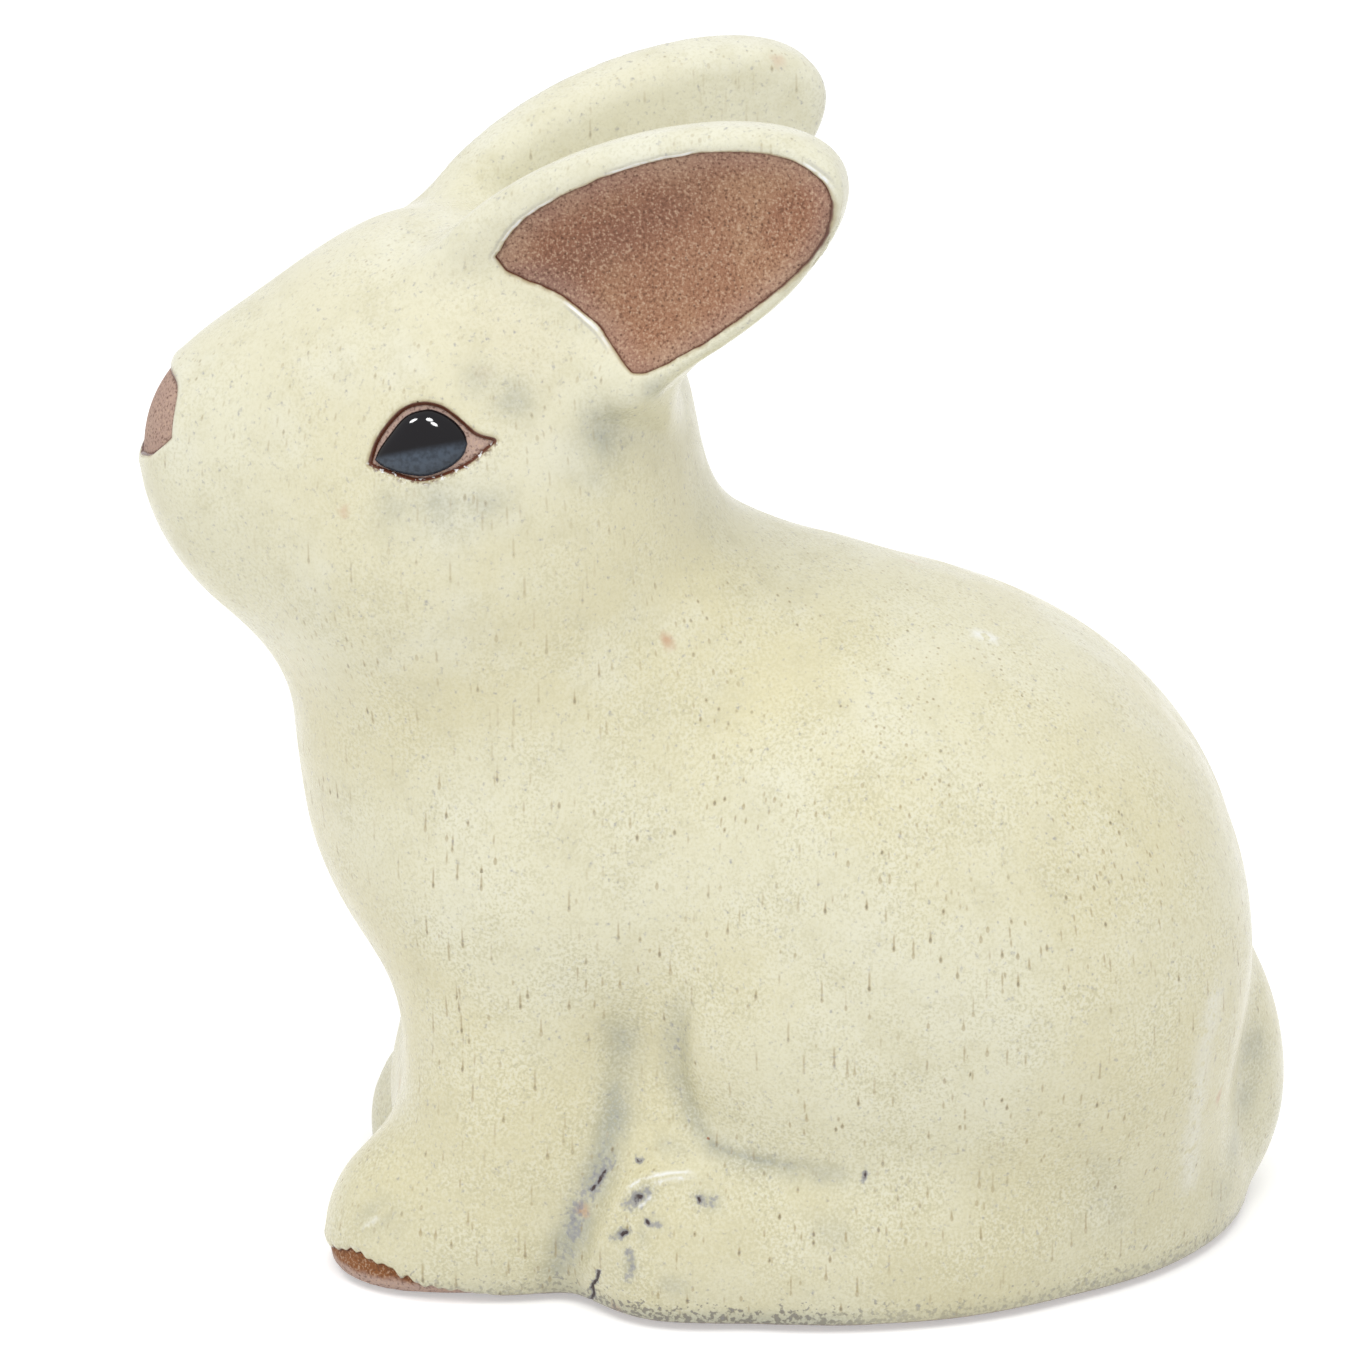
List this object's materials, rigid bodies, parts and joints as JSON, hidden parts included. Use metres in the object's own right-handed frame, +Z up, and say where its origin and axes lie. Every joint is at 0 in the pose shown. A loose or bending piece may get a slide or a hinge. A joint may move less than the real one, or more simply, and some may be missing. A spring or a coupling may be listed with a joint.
{
  "type": "rabbit figurine",
  "caption": "Sitting rabbit figurine in cream-glazed stoneware, with ears laid back, bare clay inside the ears and on the nose, and glossy black eyes.",
  "frame": {"origin": "centre of the figure's bounding box in X and Y, at the plane of its flat base", "axes": "+Z up, -Y the way the rabbit faces, +X towards the rabbit's left side"},
  "size_m": [0.0618, 0.1008, 0.1038],
  "materials": {
    "bare_clay": "matt unglazed reddish-buff stoneware with fine light and dark grog",
    "cream_glaze": "glossy warm cream glaze with small pinholes, blue-grey where it pools in creases",
    "black_glaze": "very glossy black glaze drop"
  },
  "bodies": {
    "root": {"clay_body": "bare_clay", "clay_head": "bare_clay", "tail": "bare_clay", "left_hind_foot": "bare_clay", "right_hind_foot": "bare_clay", "left_ear": "bare_clay", "right_ear": "bare_clay", "body_glaze": "cream_glaze", "left_ear_glaze": "cream_glaze", "right_ear_glaze": "cream_glaze", "left_eye": "black_glaze", "right_eye": "black_glaze"}
  },
  "joints": []
}
